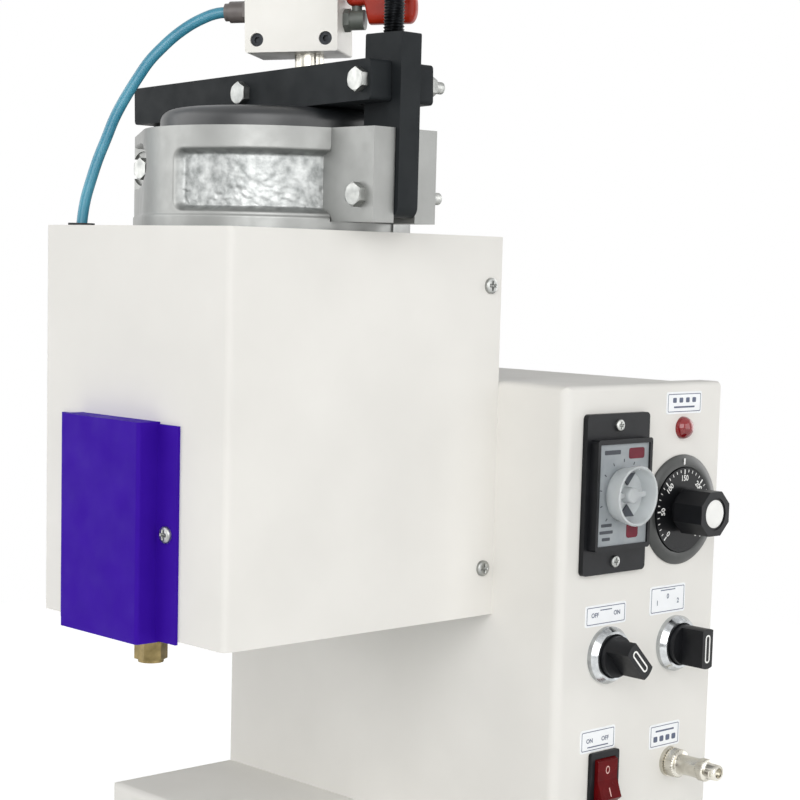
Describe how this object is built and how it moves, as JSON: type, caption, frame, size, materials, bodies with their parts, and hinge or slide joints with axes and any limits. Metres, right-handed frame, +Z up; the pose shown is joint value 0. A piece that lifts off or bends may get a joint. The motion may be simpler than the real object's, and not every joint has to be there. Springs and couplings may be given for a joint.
{
  "type": "hot melt glue unit",
  "caption": "Bench hot melt glue unit: heated pressure pot under a hinged clamp lid, needle valve with brass nozzle, and a control cabinet with timer, dial and switches.",
  "frame": {"origin": "middle of the footprint, on the surface that the rubber feet stand on", "axes": "+Z up, -Y to the front with the blue valve cover, +X to the side with the control panel"},
  "size_m": [0.294, 0.3256, 0.5016],
  "materials": {
    "white_powder_coat": "satin powder coat",
    "frame_steel": "bent plate",
    "zinc_steel": "zinc plated",
    "cast_aluminium": "sand cast, machined faces",
    "machined_aluminium": "milled",
    "bright_steel": "ground",
    "mineral_wool": "felted",
    "silicone": "matt",
    "black_enamel": "gloss",
    "black_oxide": "black oxide",
    "black_plastic": "moulded",
    "white_block": "satin",
    "nickel": "nickel plated",
    "fitting_plastic": "moulded",
    "valve_green": "moulded",
    "lever_red": "moulded",
    "rocker_red": "moulded",
    "lamp_red": "moulded lens",
    "hose_blue": "extruded",
    "black_rubber": "matt",
    "brass": "turned",
    "blue_paint": "gloss",
    "timer_grey": "moulded",
    "ring_grey": "moulded",
    "clear_plastic": "clear moulded",
    "switch_grey": "moulded"
  },
  "bodies": {
    "unit": {"base_tray": "white_powder_coat", "cabinet_shell": "white_powder_coat", "cabinet_top": "white_powder_coat", "cabinet_back": "white_powder_coat", "head_casing": "white_powder_coat", "head_frame": "frame_steel", "cabinet_screws": "zinc_steel", "head_screws": "zinc_steel", "frame_bolts": "zinc_steel", "hinge_bolt": "zinc_steel", "catch_bolt": "zinc_steel", "cover_screws": "zinc_steel", "timer_screws": "zinc_steel", "glue_tank": "cast_aluminium", "valve_block": "machined_aluminium", "valve_cylinder": "machined_aluminium", "tank_heaters": "bright_steel", "heat_probe": "bright_steel", "valve_spring": "bright_steel", "tank_insulation": "mineral_wool", "lid_gasket": "silicone", "timer_frame": "black_plastic", "rocker_frame": "black_plastic", "mains_inlet": "black_plastic", "foot_socket": "nickel", "foot_plug": "nickel", "selector_bezels": "nickel", "air_inlet": "nickel", "pilot_lamp": "lamp_red", "air_hose": "hose_blue", "base_feet": "black_rubber", "hose_grommet": "black_rubber", "nozzle": "brass", "valve_cover": "blue_paint", "timer_case": "timer_grey", "stat_bezel": "ring_grey", "stat_case": "switch_grey", "selector_blocks": "switch_grey", "solenoid_valve": "switch_grey", "heater_relay": "switch_grey", "terminal_block": "switch_grey"},
    "lid_arm": {"clamp_arm": "black_enamel", "arm_bolts": "zinc_steel", "lid": "black_enamel", "air_block": "white_block", "block_screws": "black_oxide", "air_nipple": "nickel", "hose_fitting": "fitting_plastic", "vent_valve": "valve_green"},
    "post": {"clamp_post": "black_enamel"},
    "clamp_screw": {"clamp_screw": "black_oxide", "clamp_knob": "black_plastic"},
    "vent_lever": {"vent_lever": "lever_red"},
    "timer_knob": {"timer_knob": "clear_plastic"},
    "stat_dial": {"stat_dial": "black_plastic", "stat_knob": "black_plastic"},
    "selector_left": {"selector_left": "black_plastic"},
    "selector_right": {"selector_right": "black_plastic"},
    "rocker": {"power_rocker": "rocker_red"},
    "needle": {"valve_needle": "bright_steel"}
  },
  "joints": [
    {"name": "arm_hinge", "type": "hinge", "parent": "unit", "child": "lid_arm", "pos_m": [-0.0905, -0.063, 0.3995], "axis": [0, -1, 0], "range_deg": [0, 100], "deforming": ["air_hose"]},
    {"name": "post_swing", "type": "hinge", "parent": "lid_arm", "child": "post", "pos_m": [0.0769, -0.063, 0.43713], "axis": [0, -1, 0], "range_deg": [-4, 12]},
    {"name": "clamp_screw_turn", "type": "hinge", "parent": "post", "child": "clamp_screw", "pos_m": [0.0769, -0.063, 0.43713], "axis": [0, 0, 1], "continuous": true},
    {"name": "vent_lever_turn", "type": "hinge", "parent": "lid_arm", "child": "vent_lever", "pos_m": [0.0365, -0.04975, 0.46992], "axis": [-0.0314, 0, 0.9995], "range_deg": [0, 90]},
    {"name": "timer_turn", "type": "hinge", "parent": "unit", "child": "timer_knob", "pos_m": [0.114, 0.06125, 0.2415], "axis": [1, 0, 0], "range_deg": [-270, 0]},
    {"name": "stat_turn", "type": "hinge", "parent": "unit", "child": "stat_dial", "pos_m": [0.114, 0.11575, 0.2295], "axis": [1, 0, 0], "range_deg": [-135, 135]},
    {"name": "selector_left_turn", "type": "hinge", "parent": "unit", "child": "selector_left", "pos_m": [0.114, 0.06125, 0.1585], "axis": [1, 0, 0], "range_deg": [-90, 0]},
    {"name": "selector_right_turn", "type": "hinge", "parent": "unit", "child": "selector_right", "pos_m": [0.114, 0.11575, 0.1585], "axis": [1, 0, 0], "range_deg": [-45, 45]},
    {"name": "rocker_tilt", "type": "hinge", "parent": "unit", "child": "rocker", "pos_m": [0.112, 0.06125, 0.093], "axis": [0, 1, 0], "range_deg": [0, 20]},
    {"name": "needle_lift", "type": "slide", "parent": "unit", "child": "needle", "axis": [0, 0, 1], "range_m": [0, 0.003], "stiffness_N_per_m": 800, "springref_m": -0.006, "deforming": ["valve_spring"]}
  ]
}
